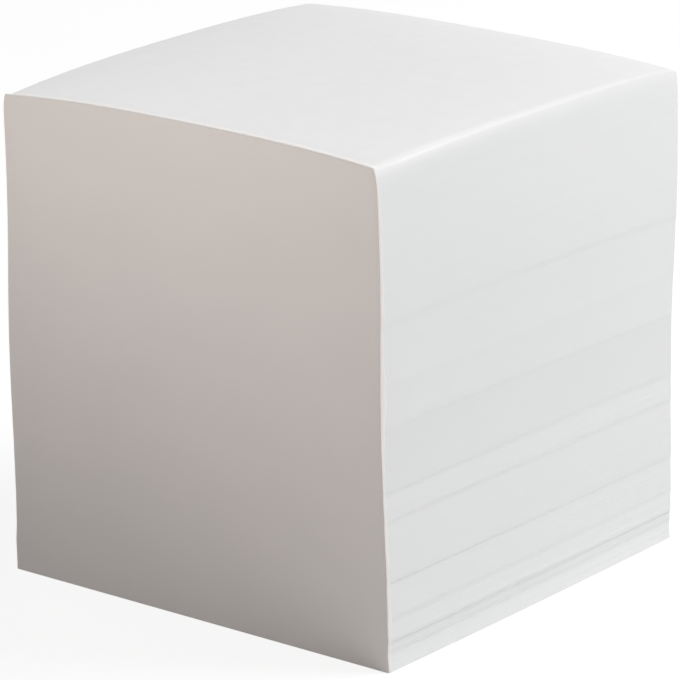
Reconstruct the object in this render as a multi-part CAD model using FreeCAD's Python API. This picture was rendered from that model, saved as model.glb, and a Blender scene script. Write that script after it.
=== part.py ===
"""A memo cube refill: a block of loose-cut square note sheets, held along one side by a film of padding glue.

Millimetres, +Z up. The origin is the middle of the block's flat underside.
The glued side faces -Y; the other three sides show the cut edges of the sheets.

The sheets come off the cutter in lifts, each lift cut at one stroke, and the lifts are knocked up flush on
the side that is glued. On the other three sides each lift is cut slightly out of square, and its lowest sheet
stands out a little from the highest of the lift below. Cutting nips the rims of the sheets, so the stack
stands higher in the middle than at its rims, more so with every sheet. The stack has also slipped to and fro
a little along X, turned on its base, and a corner of its top sheets curls down.
"""

import FreeCAD
import Part
import math
import os

# Sheets
SHEET_SIDE = 90.0
SHEET_THICKNESS = 0.1055

# Lifts, from the bottom up: sheets in the lift, and how far the left (-X), right (+X) and back (+Y)
# edges of its highest sheet stand out from the nominal square.
LIFTS = (
    (33, 0.10, 0.00, 0.00),
    (20, 0.20, 0.00, 0.05),
    (40, 0.00, 0.05, 0.10),
    (68, 0.00, 0.05, -0.05),
    (111, 0.00, 0.00, -0.05),
    (48, 0.00, 0.00, 0.00),
    (100, 0.05, 0.00, 0.10),
    (93, 0.05, 0.00, 0.25),
    (109, 0.00, 0.05, 0.35),
    (197, 0.00, 0.05, 0.20),
    (81, 0.00, 0.00, 0.10),
)
LIFT_STEP = 0.06  # how far a lift's lowest sheet stands out from the highest of the lift below

# Shape of the stack
CROWN_RISE = 1.2  # middle of a top edge above its two corners
CROWN_POWER = 3  # 2 gives a plain arch, more keeps the middle flat and turns down near the corners
SWAY = 0.28  # how far the stack has slipped to and fro along X
SWAY_PITCH = 64.0  # height of one such wave
SWAY_LEAD = 0.3  # radians by which the wave has started at the base
TOP_TURN = -1.5  # degrees by which the top sheet is turned against the bottom one
CURL_POWER = 3  # the higher, the nearer to its corner a curl stays
CORNER_CURL = (
    (-1, -1, 1.0),
    (1, -1, 0.2),
    (-1, 1, 0.2),
)  # side in X, side in Y, and how far that corner of the top sheet droops

# Padding glue
GLUE_THICKNESS = 0.3

# Working allowances, which leave no mark on the finished solids
OVERSIZE = 4.0  # how far a cutting surface runs past what it cuts
STATIONS = 11  # points across a sheet that a curved sheet is drawn through
RISER = 8.0  # greatest height between the outlines that a wall is drawn through

HALF = SHEET_SIDE / 2
CORNER_HEIGHT = SHEET_THICKNESS * sum(lift[0] for lift in LIFTS)


def turned(x, y, level):
    """Where a point of the nominal square lies at a level."""
    share = level / CORNER_HEIGHT
    x += SWAY * math.sin(2 * math.pi * level / SWAY_PITCH + SWAY_LEAD)
    angle = math.radians(TOP_TURN)
    top_x = x * math.cos(angle) - y * math.sin(angle)
    top_y = x * math.sin(angle) + y * math.cos(angle)
    return FreeCAD.Vector(x + (top_x - x) * share, y + (top_y - y) * share, level)


def rise(x, y, level):
    """How far a sheet stands above its own flat level at a point, from its crown and its curled corners."""
    share = level / CORNER_HEIGHT
    across = x / HALF
    along = y / HALF
    crown = CROWN_RISE * share * (2 - abs(across) ** CROWN_POWER - abs(along) ** CROWN_POWER)
    curl = 0
    for side_x, side_y, droop in CORNER_CURL:
        nearness = max(0, 1 + side_x * across) / 2 * max(0, 1 + side_y * along) / 2
        curl += droop * share**3 * nearness**CURL_POWER
    return crown - curl


def outline(level, left, right, front, back):
    """A closed four-sided wire at a level, its sides standing out from the nominal square."""
    corners = (
        (-HALF - left, -HALF - front),
        (HALF + right, -HALF - front),
        (HALF + right, HALF + back),
        (-HALF - left, HALF + back),
    )
    points = [turned(x, y, level) for x, y in corners]
    return Part.makePolygon(points + points[:1])


def column(bottom, top, foot, head):
    """A swaying square column between two levels, whose sides stand out from the square as given at each."""
    risers = math.ceil((top - bottom) / RISER)
    wires = []
    for i in range(risers + 1):
        share = i / risers
        outs = [low + (high - low) * share for low, high in zip(foot, head)]
        wires.append(outline(bottom + (top - bottom) * share, *outs))
    return Part.makeLoft(wires, True, False)


def lift_column(bottom, top, foot, head):
    """The outline of one lift, run past both of its ends and past the flush front."""
    slopes = [(high - low) / (top - bottom) for low, high in zip(foot, head)]
    outs = []
    for reach in (-OVERSIZE, top - bottom + OVERSIZE):
        left, right, back = [low + slope * reach for low, slope in zip(foot, slopes)]
        outs.append((left, right, OVERSIZE, back))
    return column(bottom - OVERSIZE, top + OVERSIZE, *outs)


def below(level):
    """Everything under the curved sheet whose rims lie at a level, a little wider than the block."""
    reach = HALF + OVERSIZE
    steps = [reach * (2 * i / (STATIONS - 1) - 1) for i in range(STATIONS)]
    rows = []
    for x in steps:
        row = []
        for y in steps:
            point = turned(x, y, level)
            point.z += rise(x, y, level)
            row.append(point)
        rows.append(row)
    sheet = Part.BSplineSurface()
    sheet.interpolate(rows)
    return sheet.toShape().extrude(FreeCAD.Vector(0, 0, -level - 2 * OVERSIZE))


def paper_block():
    """All the lifts as one solid: a column with a flush front, parted at the curved sheets between lifts."""
    room = OVERSIZE / 2
    sides = (room, room, 0, room)
    column_of_sheets = column(0, CORNER_HEIGHT + OVERSIZE, sides, sides)
    lifts = []
    bottom = 0
    foot = (0, 0, 0)
    for sheets, *head in LIFTS:
        top = bottom + sheets * SHEET_THICKNESS
        lift = column_of_sheets.common(lift_column(bottom, top, foot, head))
        lift = lift.common(below(top))
        if bottom > 0:
            lift = lift.cut(below(bottom))
        lifts.append(lift)
        bottom = top
        foot = [out + LIFT_STEP for out in head]
    return lifts[0].multiFuse(lifts[1:]).removeSplitter()


def glue_coat():
    """The film of glue over the whole of the side that faces -Y, from the base to the top sheet."""
    film = (0, 0, GLUE_THICKNESS, -HALF)
    stack = (OVERSIZE, OVERSIZE, 0, 0)
    top = CORNER_HEIGHT + OVERSIZE
    return column(0, top, film, film).common(below(CORNER_HEIGHT)).cut(column(0, top, stack, stack))


os.makedirs("parts", exist_ok=True)
for name, make in (("paper_block", paper_block), ("glue_coat", glue_coat)):
    make().exportStep(f"parts/{name}.step")
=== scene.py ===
import math

import bpy
import numpy as np
from mathutils import Matrix, Vector


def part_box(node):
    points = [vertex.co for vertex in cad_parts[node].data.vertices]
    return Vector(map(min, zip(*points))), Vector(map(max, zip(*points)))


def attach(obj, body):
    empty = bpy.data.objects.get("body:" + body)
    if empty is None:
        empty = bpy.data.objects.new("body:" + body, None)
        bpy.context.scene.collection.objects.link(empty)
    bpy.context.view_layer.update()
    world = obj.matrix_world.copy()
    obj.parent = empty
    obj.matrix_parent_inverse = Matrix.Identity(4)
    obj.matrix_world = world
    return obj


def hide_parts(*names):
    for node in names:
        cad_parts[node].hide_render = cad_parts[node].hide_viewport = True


# The looks of a memo cube refill: a block of loose-cut square note sheets, held along one side by glue.
# Metres, +Z up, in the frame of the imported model. The glued side faces -Y.

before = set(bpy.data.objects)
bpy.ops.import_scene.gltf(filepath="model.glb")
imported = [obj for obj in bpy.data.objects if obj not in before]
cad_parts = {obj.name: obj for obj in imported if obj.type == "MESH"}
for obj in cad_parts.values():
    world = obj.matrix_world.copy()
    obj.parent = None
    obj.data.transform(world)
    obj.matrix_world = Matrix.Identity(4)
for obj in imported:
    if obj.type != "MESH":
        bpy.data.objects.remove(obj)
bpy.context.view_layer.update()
scene = bpy.context.scene
scene.view_settings.view_transform = "Standard"


# ---- Sheets ----
# Nine hundred loose squares of uncoated white paper, pressed into one block. They come off the guillotine
# in lifts, each cut at one stroke, and the lifts are knocked up flush on the side that gets the glue. On the
# other sides they step in and out a little, and most lifts lean out towards their lowest sheet.

MM = 0.001
SHEET_SIDE = 90 * MM
HALF = SHEET_SIDE / 2

# From the bottom up: sheets in the lift, how far the edges of its lowest and its highest sheet stand out
# from the square at the left (-X), the right (+X) and the back (+Y), how wide the parting above it gapes at
# the rims, how unevenly its sheets lie, all in mm, and how far its paper is from the whitest, 0, to the
# greyest, 1.
LIFTS = (
    (33, (0.00, 0.10), (0.32, 0.00), (0.00, 0.00), 0.030, 0.008, 0.1),
    (20, (0.15, 0.20), (0.08, 0.03), (0.05, 0.05), 0.044, 0.009, 0.8),
    (40, (0.26, 0.00), (0.20, 0.01), (0.11, 0.10), 0.018, 0.007, 0.4),
    (68, (0.05, 0.00), (0.09, 0.01), (0.15, -0.05), 0.036, 0.005, 0.4),
    (111, (0.05, 0.00), (0.11, 0.02), (0.00, -0.05), 0.026, 0.004, 0.7),
    (48, (0.05, 0.00), (0.10, 0.03), (0.00, 0.00), 0.024, 0.004, 0.6),
    (117, (0.04, 0.05), (0.10, 0.05), (0.04, 0.10), 0.012, 0.003, 1.0),
    (76, (0.07, 0.05), (0.08, 0.05), (0.14, 0.20), 0.008, 0.003, 0.3),
    (109, (0.06, 0.00), (0.07, 0.05), (0.31, 0.33), 0.012, 0.002, 0.0),
    (197, (0.01, 0.00), (0.12, 0.05), (0.38, 0.26), 0.004, 0.002, 0.0),
    (81, (0.01, 0.00), (0.06, 0.04), (0.30, 0.12), 0.000, 0.002, 0.0),
)
SIDE_BOW = 0.35 * MM  # how far the middle of a cut side stands out before its ends

LIFT_SEED = 100

# A sheet strays off the line of its side together with its neighbours, alone, and by being turned, each so
# many times as far as its lift lies unevenly.
STRAY_RUN = 9  # sheets over which neighbours stray alike
STRAY_TOGETHER = 2
STRAY_ALONE = 0.5
STRAY_TURNED = 0.6
SHEET_GAP = 0.25  # share of a sheet's thickness in which the wall steps over to the next sheet

# The sheets beside a parting are dragged towards each other, in some places along it more than in others.
PARTING_SEED = 3660
EASE_REACH = 0.9 * MM  # height over which they are dragged
EASE_LIMIT = 0.16 * MM  # the most of a step that they are dragged over
EASE_CHANGE = 0.5
EASE_LEAST = 0.1
EASE_MOST = 2
WAVES_ALONG = 6  # how finely a parting, or the nip below, changes along a side

# The guillotine's clamp nips the rims of the top sheets in and presses them down where nothing holds them up.
# It bears hardest at the front. Where the rims drop most, their paper is painted whiter as a highlight.
TOP_NIP = 0.36 * MM
NIP_REACH = 4.6 * MM  # how far down the sheets are nipped
NIP_POWER = 3
NIP_CHANGE = 2 / 9
NIP_FADE = 0.45  # share by which the nip grows from the middle of a side to one end, and fades to the other
RIM_DROP = 0.46 * MM
RIM_REACH = 2.5 * MM  # how far down the sheets' rims drop, here and below a parting that gapes
RIM_WIDTH = 1.65 * MM  # how far in from the edge they drop
RIM_POWER = 2
RIM_FADE = 0.85  # share by which the drop grows from the middle of the left and right sides to the front
GLUED_RIM_HELD = 0.9  # share of the drop that the glue takes away along its side
HOLD_POWER = 24  # the higher, the nearer to the glue a rim has to be
PAINTED_HIGHLIGHT_REACH = 2.2 * MM  # how far down the cut sides the top sheets' painted highlight reaches

SWAY = 0.28 * MM  # how far the stack has slipped to and fro along X
SWAY_PITCH = 64 * MM  # height of one such wave
SWAY_LEAD = 0.3  # radians by which the wave has started at the base
CROWN_RISE = 1.2 * MM  # middle of a top edge above its two corners
CROWN_POWER = 3
TOP_TURN = math.radians(-1.5)  # how far the top sheet is turned against the bottom one
CURL_POWER = 3
CORNER_CURL = (
    (-1, -1, 1.0 * MM),
    (1, -1, 0.2 * MM),
    (-1, 1, 0.2 * MM),
)  # side in X, side in Y, and how far that corner of the top sheet droops

corner_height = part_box("paper_block")[1].z - 2 * CROWN_RISE
sheet_thickness = corner_height / sum(lift[0] for lift in LIFTS)


def placed(x, y, level):
    """Points of the stack, from places on the flat square sheets and the levels of the sheets' corners."""
    share = level / corner_height
    x = x + SWAY * np.sin(2 * math.pi * level / SWAY_PITCH + SWAY_LEAD)
    turned_x = x * math.cos(TOP_TURN) - y * math.sin(TOP_TURN)
    turned_y = x * math.sin(TOP_TURN) + y * math.cos(TOP_TURN)
    rise = CROWN_RISE * share * (2 - np.abs(x / HALF) ** CROWN_POWER - np.abs(y / HALF) ** CROWN_POWER)
    for side_x, side_y, droop in CORNER_CURL:
        nearness = np.maximum(0, 1 + side_x * x / HALF) * np.maximum(0, 1 + side_y * y / HALF) / 4
        rise = rise - droop * share**3 * nearness**CURL_POWER
    return np.stack((x + (turned_x - x) * share, y + (turned_y - y) * share, level + rise), axis=-1)


def stations(fine, even):
    """Places from -1 to 1 along a side: fine distances in from each end, and evenly spaced ones between."""
    ends = np.array(fine) / HALF - 1
    return np.concatenate((ends[:-1], np.linspace(ends[-1], -ends[-1], even), -ends[-2::-1]))


def wander(chance, places, waves=4):
    """A smooth random line along a side, mostly between -1 and 1."""
    line = 0 * places
    for wave in range(1, waves + 1):
        height = chance.normal(0, 0.7 / wave)
        line = line + height * np.sin(1.7 * wave * places + chance.uniform(0, 2 * math.pi))
    return line


def bowed(places):
    """How far the bow of a cut side stands out at places from -1 to 1 along it."""
    return SIDE_BOW * np.maximum(0, 1 - places**2)


def pressed(u, v, held):
    """How much of the rims' drop a place on a sheet has. Held is the share that the glue takes away."""
    near_x = np.maximum(0, 1 - (1 - np.abs(u)) * HALF / RIM_WIDTH) ** RIM_POWER
    near_y = np.maximum(0, 1 - (1 - np.abs(v)) * HALF / RIM_WIDTH) ** RIM_POWER
    near_x = near_x * (1 - RIM_FADE * v)
    return (1 - (1 - near_x) * (1 - near_y)) * (1 - held * np.maximum(0, -v) ** HOLD_POWER)


def closed_piece(name, points, faces, layout, noted, finishes, slots, smooth):
    """An object from its points, its four-cornered faces, their map, and values noted at its points."""
    mesh = bpy.data.meshes.new(name)
    mesh.from_pydata(points.tolist(), [], faces.tolist())
    mesh.uv_layers.new(name="OFBake").data.foreach_set("uv", layout.astype(np.float32).ravel())
    for key, values in noted.items():
        mesh.attributes.new(key, "FLOAT", "POINT").data.foreach_set("value", values.astype(np.float32))
    for finish in finishes:
        mesh.materials.append(finish)
    mesh.polygons.foreach_set("material_index", slots.astype(np.int32))
    mesh.polygons.foreach_set("use_smooth", smooth)
    mesh.update()
    piece = bpy.data.objects.new(name, mesh)
    scene.collection.objects.link(piece)
    return piece


def node(tree, kind, inputs=None, **settings):
    """A node of a finish, with its settings, and its inputs given as values or as other nodes' outputs."""
    made = tree.nodes.new("ShaderNode" + kind)
    for key, value in settings.items():
        setattr(made, key, value)
    for key, value in (inputs or {}).items():
        if isinstance(value, bpy.types.NodeSocket):
            tree.links.new(value, made.inputs[key])
        else:
            made.inputs[key].default_value = value
    return made


COLOUR_A, COLOUR_B, COLOUR_OUT = 6, 7, 2  # the colour sockets of a Mix node


def blended(tree, share, first, second):
    """A colour that goes from the first to the second with a share from 0 to 1."""
    inputs = {0: share}
    for key, colour in ((COLOUR_A, first), (COLOUR_B, second)):
        inputs[key] = colour if isinstance(colour, bpy.types.NodeSocket) else (*colour, 1)
    return node(tree, "Mix", inputs, data_type="RGBA").outputs[COLOUR_OUT]


def stretched(tree, value, low, high, to_low=0.0, to_high=1.0):
    """A value spread so that low and high come out as to_low and to_high, and nothing goes past them."""
    inputs = {"Value": value, "From Min": low, "From Max": high, "To Min": to_low, "To Max": to_high}
    return node(tree, "MapRange", inputs).outputs[0]


def cloud(tree, places, scale, detail=2.0, across=(1.0, 1.0, 1.0)):
    """Soft random patches, wider in the directions where across is small."""
    pulled = node(tree, "VectorMath", {0: places, 1: across}, operation="MULTIPLY").outputs[0]
    return node(tree, "TexNoise", {"Vector": pulled, "Scale": scale, "Detail": detail}).outputs[0]


def finish_with(name, specular, roughness=None):
    """A new material of that name and gloss, its nodes and its shader."""
    finish = bpy.data.materials.new(name)
    finish.use_nodes = True
    shader = finish.node_tree.nodes["Principled BSDF"]
    shader.inputs["Specular IOR Level"].default_value = specular
    if roughness is not None:
        shader.inputs["Roughness"].default_value = roughness
    return finish, finish.node_tree, shader


def add_relief(tree, shader, height, strength):
    """A bump so fine that the mesh doesn't have it."""
    bump = node(tree, "Bump", {"Height": height, "Strength": strength, "Distance": 0.02 * MM})
    tree.links.new(bump.outputs[0], shader.inputs["Normal"])


# Painted highlight: the top sheets' paper is coloured whiter along their dropped rims.
PAINTED_HIGHLIGHT_WHITE = (0.945, 0.945, 0.943)
PAINTED_HIGHLIGHT_FROM = 0.95  # shares of the rims' drop between which the painted highlight turns the paper white
PAINTED_HIGHLIGHT_FULLY = 1.65


def with_painted_highlight(tree, paper):
    """Paper with a painted highlight: whiter where the rims of the top sheets drop most."""
    painted_highlight = node(tree, "Attribute", attribute_name="painted_highlight").outputs["Fac"]
    return blended(tree, stretched(tree, painted_highlight, PAINTED_HIGHLIGHT_FROM, PAINTED_HIGHLIGHT_FULLY), paper, PAINTED_HIGHLIGHT_WHITE)


SINGLE_SHEETS = (0.83, 26.0, 1.0)  # patches of one shade to a sheet of height, and to a metre along the side
BUNDLES = (0.11, 14.0, 1.0)
WHITE_EDGES = ((0.876, 0.875, 0.873), (0.890, 0.889, 0.887))
GREY_EDGES = (0.843, 0.842, 0.840)
# Painted shade: a dark hairline coloured into the gap between each two sheets.
GAP_SHADE = (0.72, 0.72, 0.72)
GAP_SHADE_WIDTH = 0.12  # in sheets, to either side of the gap between two, that the painted shade covers


def cut_edge_finish():
    """Paper seen edge on: each sheet has its own tone, fading along the side, with painted shade as a dark
    hairline in the gap between each two sheets, and a painted highlight near the top rims.
    """
    finish, tree, shader = finish_with(name="paper_cut_edge", specular=0.3, roughness=0.88)
    object_place = node(tree, "TexCoord").outputs["Object"]
    split = node(tree, "SeparateXYZ", {0: object_place})
    along = node(tree, "Math", {0: split.outputs[0], 1: split.outputs[1]}, operation="ADD").outputs[0]
    sheet = node(tree, "Attribute", attribute_name="sheet").outputs["Fac"]
    unrolled = node(tree, "CombineXYZ", {0: sheet, 1: along}).outputs[0]
    single = cloud(tree, unrolled, 1.0, 1.0, SINGLE_SHEETS)
    bundles = cloud(tree, unrolled, 1.0, 3.0, BUNDLES)
    tone = node(tree, "Math", {0: single, 1: bundles}, operation="ADD").outputs[0]
    paper = blended(tree, stretched(tree, tone, 0.7, 1.3), *WHITE_EDGES)
    grey = node(tree, "Attribute", attribute_name="grey").outputs["Fac"]
    # The painted highlight whitens the cut edges of the top sheets near their rims.
    paper = with_painted_highlight(tree, blended(tree, grey, paper, GREY_EDGES))
    # Painted shade darkens the cut edges to a hairline at each gap between sheets.
    from_gap = node(tree, "Math", {0: sheet, 1: 0.5}, operation="PINGPONG").outputs[0]
    with_gap_shade = blended(tree, stretched(tree, from_gap, 0.0, GAP_SHADE_WIDTH), GAP_SHADE, paper)
    tree.links.new(with_gap_shade, shader.inputs["Base Color"])
    fibres = cloud(tree, object_place, 4500.0)
    add_relief(tree, shader, fibres, 0.35)
    return finish


CLOUDY_WHITE = ((0.867, 0.866, 0.864), (0.881, 0.880, 0.878))


def sheet_face_finish():
    """The face of a sheet: cloudy, as paper is against the light, with a fine tooth of fibres."""
    finish, tree, shader = finish_with(name="paper_face", specular=0.35, roughness=0.82)
    object_place = node(tree, "TexCoord").outputs["Object"]
    cloudy = cloud(tree, object_place, 260.0, 6.0)
    paper = blended(tree, stretched(tree, cloudy, 0.35, 0.65), *CLOUDY_WHITE)
    # The painted highlight whitens the top sheet's face along its dropped rims.
    tree.links.new(with_painted_highlight(tree, paper), shader.inputs["Base Color"])
    tooth = cloud(tree, object_place, 3200.0, 4.0)
    add_relief(tree, shader, tooth, 0.4)
    return finish


paper_cut_edge = cut_edge_finish()
paper_face = sheet_face_finish()
MAP_MARGIN = 0.01
FACE_SHARE = 0.34  # of the map's side, for the faces at a lift's ends
TOP_FACE_SHARE = 0.62  # more for the top lift, whose top sheet shows

side_places = stations([d * RIM_WIDTH for d in (0, 0.06, 0.13, 0.22, 0.33, 0.46, 0.61, 0.78, 1)], 14)
spans = len(side_places) - 1

# The rim of a sheet, once round from its front left corner, anticlockwise from above. Then its inside.
rim_u = np.concatenate((side_places[:-1], np.ones(spans), side_places[:0:-1], -np.ones(spans)))
rim_v = np.concatenate((-np.ones(spans), side_places[:-1], np.ones(spans), side_places[:0:-1]))
rim_count = 4 * spans
inside_i, inside_j = (part.ravel() for part in np.meshgrid(*[np.arange(1, spans)] * 2, indexing="ij"))
inside_u, inside_v = side_places[inside_i], side_places[inside_j]
inside_count = len(inside_u)

# For each crossing of a sheet's grid, its number among the rim's points or, after those, the inside ones.
crossing = np.empty((spans + 1, spans + 1), int)
crossing[:-1, 0] = np.arange(spans)
crossing[-1, :-1] = spans + np.arange(spans)
crossing[:0:-1, -1] = 2 * spans + np.arange(spans)
crossing[0, :0:-1] = 3 * spans + np.arange(spans)
crossing[1:-1, 1:-1] = rim_count + np.arange(inside_count).reshape(spans - 1, spans - 1)


def cells_of(grid):
    """The four corners of each cell of a grid, of point numbers or of places on the map."""
    corners = np.stack((grid[:-1, :-1], grid[1:, :-1], grid[1:, 1:], grid[:-1, 1:]), axis=2)
    return corners.reshape(-1, *corners.shape[2:])


def spread_over(first, second):
    """A grid of places on the map, from those along its first and its second direction."""
    return np.stack(np.meshgrid(first, second, indexing="ij"), axis=-1)


def between(low, high, share):
    """What lies at a share of the way from low to high."""
    return low + (high - low) * share


face_cells = cells_of(crossing)
face_map = (1 + cells_of(spread_over(side_places, side_places))) / 2

# How far each lift's sides stand out at its foot and its head, and the steps that are eased at the partings,
# from the base to the top of the block, where there are none.
lift_sides = np.array([lift[1:4] for lift in LIFTS]) * MM
steps = np.clip(lift_sides[1:, :, 0] - lift_sides[:-1, :, 1], -EASE_LIMIT, EASE_LIMIT)
steps = np.concatenate((np.zeros((1, 3)), steps, np.zeros((1, 3))))


def dragged(parting, side, places, distance):
    """How far the sheets at a distance from a parting are dragged over it on one side, at places along it."""
    change = wander(np.random.default_rng(PARTING_SEED + parting), places, WAVES_ALONG)
    unevenly = np.clip(1 + EASE_CHANGE * change, EASE_LEAST, EASE_MOST)
    return np.maximum(0, 1 - distance / EASE_REACH) ** 2 * unevenly * steps[parting, side] / 2


def stands_out(chance, number, side, places, level):
    """How far the rings of a lift stand out from the square on one side, at places along it."""
    sheets, uneven = LIFTS[number - 1][0], LIFTS[number - 1][5] * MM
    foot, head = lift_sides[number - 1, side]
    above_foot = (level - level[0])[:, None]
    below_head = (level[-1] - level)[:, None]
    alone = chance.normal(0, STRAY_ALONE, sheets)
    run = chance.normal(0, 1, sheets + STRAY_RUN - 1)
    together = np.convolve(run, np.full(STRAY_RUN, STRAY_TOGETHER / STRAY_RUN), "valid")
    turned = STRAY_TURNED * chance.normal(0, 1, sheets)
    stray = uneven * ((alone + together)[:, None] + turned[:, None] * places)
    out = between(foot, head, above_foot / above_foot[-1]) + bowed(places) + np.repeat(stray, 2, axis=0)
    out = out + dragged(number, side, places, below_head) - dragged(number - 1, side, places, above_foot)
    nip = TOP_NIP * (1 + NIP_CHANGE * wander(chance, places, WAVES_ALONG)) * (1 - NIP_FADE * places)
    if number == len(LIFTS):
        out = out - nip * np.maximum(0, 1 - below_head / NIP_REACH) ** NIP_POWER
    return out


def on_sheet(u, v, left, right, back, level, drop):
    """Points of a sheet at places on its square, whose sides stand out and whose rims drop so far."""
    x = u * (HALF + np.where(u > 0, right, left))
    y = v * (HALF + np.where(v > 0, back, 0))
    points = placed(x, y, level + 0 * x)
    points[..., 2] -= drop * pressed(u, v, GLUED_RIM_HELD)
    return points


def lift_of_sheets(number, first_sheet):
    """One lift as a closed piece, two rings of points for each sheet, and where its glued side ends."""
    sheets, _, _, _, gape, _, grey = LIFTS[number - 1]
    on_top = number == len(LIFTS)
    drop = RIM_DROP if on_top else gape * MM
    chance = np.random.default_rng(LIFT_SEED + number)

    sheet = np.arange(sheets)
    edges = np.stack((sheet + SHEET_GAP / 2, sheet + 1 - SHEET_GAP / 2), axis=1).ravel()
    edges[0], edges[-1] = 0, sheets
    level = (first_sheet + edges) * sheet_thickness
    below_head = (level[-1] - level)[:, None]
    left, right, back = (
        stands_out(chance, number, side, places, level) for side, places in enumerate((rim_v, rim_v, rim_u))
    )
    ring_drop = drop * np.maximum(0, 1 - below_head / RIM_REACH) ** 2
    rings = on_sheet(rim_u, rim_v, left, right, back, level[:, None], ring_drop)
    points = [rings.reshape(-1, 3)]
    for ring, face_drop in ((0, 0), (-1, drop)):
        out_left, out_right = left[ring, 4 * spans - inside_j], right[ring, spans + inside_j]
        out_back = back[ring, 3 * spans - inside_i]
        points.append(on_sheet(inside_u, inside_v, out_left, out_right, out_back, level[ring], face_drop))

    points_a_level = [rim_count] * len(edges) + [inside_count] * 2
    sheet_at_points = np.repeat(first_sheet + np.append(edges, (0, sheets)), points_a_level)
    # How much painted highlight each point of the top lift gets: most where its rims drop most.
    face_highlight = pressed(inside_u, inside_v, 1)
    ring_highlight = np.maximum(0, 1 - below_head / PAINTED_HIGHLIGHT_REACH) ** 2 * pressed(rim_u, rim_v, 1)
    painted_highlight = on_top * np.concatenate((ring_highlight.ravel(), 0 * face_highlight, face_highlight))

    # The map: the top face in one corner, the underside beside it, and the four walls above them, on end.
    face_share = TOP_FACE_SHARE if on_top else FACE_SHARE
    under_size = min(face_share, 1 - face_share) - 2 * MAP_MARGIN
    upright = between(face_share + 2 * MAP_MARGIN, 1 - MAP_MARGIN, edges / sheets)
    ring_points = np.arange(rings[..., 0].size).reshape(rings.shape[:2]).T
    wall, wall_map = [], []
    for side in range(4):
        round_rim = np.arange(side * spans, (side + 1) * spans + 1) % rim_count
        wall.append(cells_of(ring_points[round_rim]))
        along = (side + between(2 * MAP_MARGIN, 1 - 2 * MAP_MARGIN, (1 + side_places) / 2)) / 4
        wall_map.append(cells_of(spread_over(along, upright)))
    face_points = ring_points.size + np.arange(2 * inside_count)
    under = np.concatenate((ring_points[:, 0], face_points[:inside_count]))[face_cells][:, ::-1]
    over = np.concatenate((ring_points[:, -1], face_points[inside_count:]))[face_cells]
    under_map = (face_share + MAP_MARGIN, MAP_MARGIN) + under_size * face_map[:, ::-1]
    over_map = between(MAP_MARGIN, face_share - MAP_MARGIN, face_map)

    at_an_end = np.repeat((False, True), (sum(map(len, wall)), len(under) + len(over)))
    lift = closed_piece(
        f"sheets_lift_{number:02d}",
        np.concatenate(points),
        np.concatenate((*wall, under, over)),
        np.concatenate((*wall_map, under_map, over_map)),
        {"sheet": sheet_at_points, "grey": grey + 0 * painted_highlight, "painted_highlight": painted_highlight},
        (paper_cut_edge, paper_face),
        at_an_end,
        at_an_end,
    )
    return lift, np.stack((level, HALF + left[:, 0], HALF + right[:, spans]))


glued_ends = []  # levels, and how far the left and right ends of the glued side lie from the middle there
first_sheet = 0
for number, (sheets, *_) in enumerate(LIFTS, start=1):
    lift, ends = lift_of_sheets(number, first_sheet)
    glued_ends.append(ends)
    first_sheet += sheets
    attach(lift, "root")
    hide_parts("paper_block")
glued_ends = np.concatenate(glued_ends, axis=1)


# ---- Padding glue ----
# A film of white padding glue, brushed over the flush side of the stack and left to dry to a soft,
# warm-toned, faintly rubbery skin. It holds the sheets by their rims, and each peels off it singly.

GLUE_THICKNESS = 0.3 * MM
GLUE_ROUND = 0.14 * MM  # radius of the film's outer corners
GLUE_LAP = 0.75 * MM  # how far it laps round onto the cut sides
LAP_PROUD = 0.04 * MM  # how far that lap stands proud of them
LAP_SECTION = (
    (1.00, 0.25),
    (0.93, 0.70),
    (0.70, 1.00),
    (0.05, 1.00),
)  # its outer line, from its end to the corner: how far from the corner, and how proud, as shares of the two
LAP_THINNESS = (0.9, 0.8, 0.7, 0.5)  # how much of the thin glue's colour each of those has
BRUSH_RELIEF = 0.012 * MM
BRIDGE = 9  # sheets that the film's ends are evened out over
FILM_SEED = 7
FILM_ROWS = 190  # of points, evenly spaced between the finer ones at its two ends
FILM_COLUMNS = 62  # from the last point of one corner to that of the other

# The glue's colour at the foot and at the top of the block, each patchy between two tones.
LOWER_GLUE = ((0.826, 0.764, 0.732), (0.846, 0.779, 0.743))
UPPER_GLUE = ((0.842, 0.760, 0.705), (0.862, 0.775, 0.716))
THIN_GLUE = (0.890, 0.868, 0.855)


def glue_finish():
    """Dried white glue: warm, and warmer towards the top, uneven in tone and gloss, and faintly brushed."""
    finish, tree, shader = finish_with(name="padding_glue", specular=0.4)
    object_place = node(tree, "TexCoord").outputs["Object"]
    patchy = stretched(tree, cloud(tree, object_place, 45.0, 3.0), 0.3, 0.7)
    low_glue = blended(tree, patchy, *LOWER_GLUE)
    high_glue = blended(tree, patchy, *UPPER_GLUE)
    height = node(tree, "SeparateXYZ", {0: object_place}).outputs[2]
    # The glue's colour goes warmer from the foot of the block to its top.
    colour = blended(tree, stretched(tree, height, 0.0, corner_height), low_glue, high_glue)
    thinness = node(tree, "Attribute", attribute_name="thinness").outputs["Fac"]
    tree.links.new(blended(tree, thinness, colour, THIN_GLUE), shader.inputs["Base Color"])
    gloss = stretched(tree, cloud(tree, object_place, 120.0, 3.0), 0.3, 0.7, 0.52, 0.64)
    tree.links.new(gloss, shader.inputs["Roughness"])
    strokes = cloud(tree, object_place, 900.0, 3.0, (0.06, 1.0, 1.0))
    add_relief(tree, shader, strokes, 0.25)
    return finish


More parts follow.
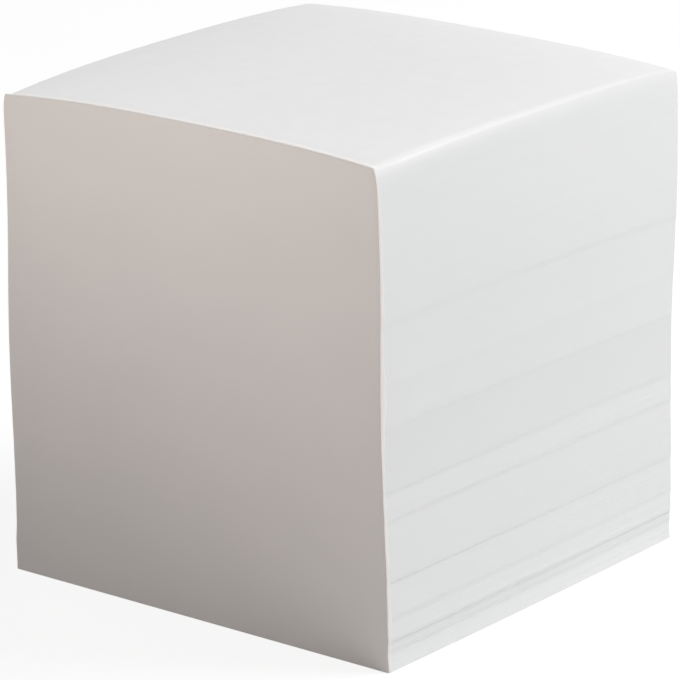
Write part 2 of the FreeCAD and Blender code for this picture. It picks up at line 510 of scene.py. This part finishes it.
def glue_skin(name, outer, inner, outer_map, inner_map, thinness):
    """A closed piece of glue from a grid of outer points and the inner points behind them."""
    numbers = np.arange(outer[..., 0].size).reshape(outer.shape[:2])
    cells = cells_of(numbers)
    rim = np.concatenate((numbers[:-1, 0], numbers[-1, :-1], numbers[:0:-1, -1], numbers[0, :0:-1]))
    onward = np.roll(rim, -1)
    strip = np.stack((onward, rim, rim + numbers.size, onward + numbers.size), axis=-1)
    faces = np.concatenate((cells, cells[:, ::-1] + numbers.size, strip))
    strip_map = cells_of(spread_over(np.linspace(0.02, 0.98, len(rim) + 1), (0.95, 0.98)))[:, (1, 0, 3, 2)]
    return closed_piece(
        name,
        np.concatenate((outer.reshape(-1, 3), inner.reshape(-1, 3))),
        faces,
        np.concatenate((cells_of(outer_map), cells_of(inner_map)[:, ::-1], strip_map)),
        {"thinness": np.tile(thinness.ravel(), 2)},
        (padding_glue,),
        np.zeros(len(faces)),
        np.ones(len(faces), bool),
    )


def glue_film():
    """The film on the stack, from the end of one lap round the front to the end of the other."""
    chance = np.random.default_rng(FILM_SEED)
    fine = [height * MM * SHEET_SIDE / corner_height for height in (0, 0.03, 0.08, 0.15)]
    up = (1 + stations(fine, FILM_ROWS)) / 2
    level = up * corner_height
    near_end = np.minimum(level, corner_height - level)
    thin = GLUE_ROUND - np.sqrt(GLUE_ROUND**2 - np.maximum(0, GLUE_ROUND - near_end) ** 2)
    evened = np.ones(2 * BRIDGE) / (2 * BRIDGE)
    padded = np.pad(glued_ends[1:], ((0, 0), (BRIDGE, BRIDGE - 1)), mode="edge")
    left, right = (np.interp(level, glued_ends[0], np.convolve(line, evened, "valid")) for line in padded)

    def end_of_film(side, paper):
        """From a lap's end to past the corner, outer X and Y, then inner ones. Y goes out from the front."""
        ragged = 0.4 * wander(chance, 6 * up) + 0.2 * wander(chance, 31 * up)
        lap = GLUE_LAP * np.clip(1 + ragged, 0.2, 2)
        back, proud = (np.array(part)[:, None] for part in zip(*LAP_SECTION))
        angle = np.radians((0, 22.5, 45, 67.5, 90))[:, None]
        outer_x = (proud * LAP_PROUD + 0 * lap, LAP_PROUD - GLUE_ROUND * (1 - np.cos(angle)) - thin)
        outer_y = (-back * lap, GLUE_THICKNESS - GLUE_ROUND * (1 - np.sin(angle)) - thin)
        inner_x = (0 * back * lap, -GLUE_ROUND * np.linspace(0.2, 1, len(angle))[:, None] + 0 * lap)
        inner_y = (-back[:-1] * lap, 0 * lap[None], 0 * angle * lap)
        ends = []
        for x, y in ((outer_x, outer_y), (inner_x, inner_y)):
            x, y = np.concatenate(x), np.concatenate(y)
            ends += [side * (paper + bowed(1 + y / HALF) + x), y]
        return ends

    left_x, left_y, left_inner_x, left_inner_y = end_of_film(-1, left)
    right_x, right_y, right_inner_x, right_inner_y = end_of_film(1, right)
    across = np.linspace(-1, 1, FILM_COLUMNS)[1:-1, None]
    middle_x = (right_x[-1] + left_x[-1]) / 2 + across * (right_x[-1] - left_x[-1]) / 2
    relief = BRUSH_RELIEF * (wander(chance, 3 * across) + wander(chance, 5 * up + across)) * (1 - across**8)
    middle_y = GLUE_THICKNESS - thin + relief * np.minimum(1, near_end / (2 * MM))
    x = np.concatenate((left_x, middle_x, right_x[::-1]))
    y = np.concatenate((left_y, middle_y, right_y[::-1]))
    inner_x = np.concatenate((left_inner_x, middle_x, right_inner_x[::-1]))
    inner_y = np.concatenate((left_inner_y, 0 * middle_y, right_inner_y[::-1]))
    level = level + 0 * x
    drop = RIM_DROP * np.maximum(0, 1 - (corner_height - level) / RIM_REACH) ** 2
    outer = placed(x, -HALF - y, level)
    inner = placed(inner_x, -HALF - inner_y, level)
    outer[..., 2] -= drop * pressed(1, np.clip(-1 - y / HALF, -1, 1), GLUED_RIM_HELD)
    inner[..., 2] -= drop * pressed(1, np.clip(-1 - inner_y / HALF, -1, 1), GLUED_RIM_HELD)

    # The map: the outer skin, the inner one above it at less height, and the strip between them at the top.
    runs = np.hypot(np.diff(x, axis=0, prepend=x[:1]), np.diff(y, axis=0, prepend=y[:1]))
    unrolled = np.cumsum(runs, axis=0)
    outer_map = np.stack((between(0.02, 0.98, unrolled / unrolled[-1]), 0.02 + 0.6 * up + 0 * x), axis=-1)
    thinness = 0 * x
    thinness[:4] = thinness[:-5:-1] = np.array(LAP_THINNESS)[:, None]
    return glue_skin("padding_glue_film", outer, inner, outer_map, outer_map * (1, 0.4) + (0, 0.66), thinness)


RIM_LAP = 1.0 * MM  # how far the film runs over the rim of the top sheet
RIM_LAP_SINK = 0.05 * MM  # how far its inner skin lies below the sheet's face
RIM_LAP_THINNESS = 0.85
RIM_LAP_SEED = 11
RIM_LAP_COLUMNS = 90
RIM_LAP_SECTION = (
    (-0.26, -0.12),
    (-0.24, 0.00),
    (-0.16, 0.085),
    (0.00, 0.125),
    (0.20, 0.11),
    (0.50, 0.07),
    (0.80, 0.025),
    (1.00, 0.003),
)  # its outer line: how far in from the sheets' front, in mm before it and in laps past it, and mm above them


def glue_over_rim():
    """The thin lap of the film over the front rim of the top sheet."""
    chance = np.random.default_rng(RIM_LAP_SEED)
    across = np.linspace(1, -1, RIM_LAP_COLUMNS)
    left, right = glued_ends[1:, -1]
    ragged = 0.25 * wander(chance, 4 * across) + 0.15 * wander(chance, 17 * across)
    lap = RIM_LAP * np.clip(1 + ragged, 0.3, 2)
    inward, above = (np.array(part)[:, None] for part in zip(*RIM_LAP_SECTION))
    y = -HALF + np.where(inward < 0, inward * MM, inward * lap)
    x = (right - left) / 2 + across * (right + left) / 2 + 0 * y
    on_rim = placed(x, y, corner_height + 0 * y)
    u = np.clip(x / np.where(x > 0, right, left), -1, 1)
    on_rim[..., 2] -= RIM_DROP * pressed(u, np.clip(y / HALF, -1, 1), GLUED_RIM_HELD)
    outer, inner = on_rim.copy(), on_rim.copy()
    outer[..., 2] += above * MM
    inner[..., 2] += np.minimum(above, 0) * MM - RIM_LAP_SINK

    # The map: the outer skin, the inner one beside it, and the strip between them at the top.
    outer_map = np.stack((0.11 + 0.31 * inward + 0 * x, 0.46 + 0.42 * across + 0 * x), axis=-1)
    inner_map = outer_map + (0.43, 0)
    thinness = RIM_LAP_THINNESS + 0 * x
    return glue_skin("padding_glue_rim_lap", outer, inner, outer_map, inner_map, thinness)


padding_glue = glue_finish()
for piece in (glue_film(), glue_over_rim()):
    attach(piece, "root")
    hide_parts("glue_coat")


# ---- Floor and light ----
# A plain pale table top in a white room. The camera sees it as white paper that keeps the block's shadow.

FLOOR_REACH = 3.0
floor_corners = [(x * FLOOR_REACH, y * FLOOR_REACH, 0) for x, y in ((-1, -1), (1, -1), (1, 1), (-1, 1))]
floor_mesh = bpy.data.meshes.new("floor")
floor_mesh.from_pydata(floor_corners, [], [(0, 1, 2, 3)])
floor = bpy.data.objects.new("floor", floor_mesh)
scene.collection.objects.link(floor)

WHITE = (1, 1, 1, 1)
TABLE_TONE = (0.67, 0.68, 0.69, 1)  # what the table throws back onto the block
SHADOW_SHARE = 0.2  # how much of the floor that is seen takes the light, so that it keeps the shadow,
FLOOR_GLOW = 0.84  # and how much glows, so that it is white beside it
ROOM_LIGHT = 0.13


def seen_directly(tree):
    """1 for what the camera sees, straight or in a gloss or through glass, and 0 for light on its way."""
    path = node(tree, "LightPath").outputs
    seen = path["Is Camera Ray"]
    for ray in ("Is Glossy Ray", "Is Transmission Ray"):
        seen = node(tree, "Math", {0: seen, 1: path[ray]}, operation="MAXIMUM").outputs[0]
    return seen


def shown_otherwise(tree, lighting, shown, output):
    """A surface that lights the block as one shader, and is seen as another."""
    surface = node(tree, "MixShader", {0: seen_directly(tree), 1: lighting, 2: shown})
    tree.links.new(surface.outputs[0], tree.nodes[output].inputs["Surface"])


floor_finish = bpy.data.materials.new("floor_white")
floor_finish.use_nodes = True
tree = floor_finish.node_tree
tree.nodes.remove(tree.nodes["Principled BSDF"])
table = node(tree, "BsdfDiffuse", {"Color": TABLE_TONE}).outputs[0]
shadowed = node(tree, "BsdfDiffuse", {"Color": (SHADOW_SHARE, SHADOW_SHARE, SHADOW_SHARE, 1)}).outputs[0]
glow = node(tree, "Emission", {"Color": WHITE, "Strength": FLOOR_GLOW}).outputs[0]
white_paper = node(tree, "AddShader", {0: shadowed, 1: glow}).outputs[0]
shown_otherwise(tree, table, white_paper, "Material Output")
floor_mesh.materials.append(floor_finish)

scene.world = bpy.data.worlds.new("room")
scene.world.use_nodes = True
tree = scene.world.node_tree
room = node(tree, "Background", {"Color": WHITE, "Strength": ROOM_LIGHT}).outputs[0]
backdrop = node(tree, "Background", {"Color": WHITE, "Strength": 1.0}).outputs[0]
shown_otherwise(tree, room, backdrop, "World Output")


def soft_lamp(name, place, aim, width, height, watts):
    """A soft box of light at a place, facing the point it is aimed at."""
    light = bpy.data.lights.new(name, "AREA")
    light.shape = "RECTANGLE"
    light.size = width
    light.size_y = height
    light.energy = watts
    lamp = bpy.data.objects.new(name, light)
    lamp.location = place
    lamp.rotation_euler = (Vector(aim) - Vector(place)).to_track_quat("-Z", "Y").to_euler()
    lamp.visible_camera = False
    scene.collection.objects.link(lamp)


BLOCK_MIDDLE = (0, 0, 0.05)
GLUE_NEAR_TOP = (-0.006, -0.045, 0.10)
soft_lamp("key_light", (0.574, 0.574, 0.793), BLOCK_MIDDLE, width=0.7, height=0.7, watts=12.9)
soft_lamp("side_light", (-0.93, 0.1, 0.36), BLOCK_MIDDLE, width=0.7, height=0.5, watts=1.6)
soft_lamp("front_light", (-0.013, -0.135, 0.12), GLUE_NEAR_TOP, width=0.2, height=0.1, watts=0.0722)


# ---- Camera ----
# It stands in front of the corner between the glued side and the cut side, and looks down a little.

CAMERA_AZIMUTH = math.radians(38.27)
CAMERA_ELEVATION = math.radians(17.54)
CAMERA_ROLL = math.radians(-0.4)
CAMERA_DISTANCE = 0.8797
CAMERA_AIM = Vector((0, -1.3 * MM, 43.7 * MM))
camera_data = bpy.data.cameras.new("camera")
camera_data.sensor_width = 36
camera_data.lens = 243.3
camera_data.clip_end = 20
camera = bpy.data.objects.new("camera", camera_data)
backward = Vector((
    math.sin(CAMERA_AZIMUTH) * math.cos(CAMERA_ELEVATION),
    -math.cos(CAMERA_AZIMUTH) * math.cos(CAMERA_ELEVATION),
    math.sin(CAMERA_ELEVATION),
))
turn = backward.to_track_quat("Z", "Y").to_matrix() @ Matrix.Rotation(CAMERA_ROLL, 3, "Z")
camera.matrix_world = Matrix.Translation(CAMERA_AIM + CAMERA_DISTANCE * backward) @ turn.to_4x4()
scene.collection.objects.link(camera)
scene.camera = camera
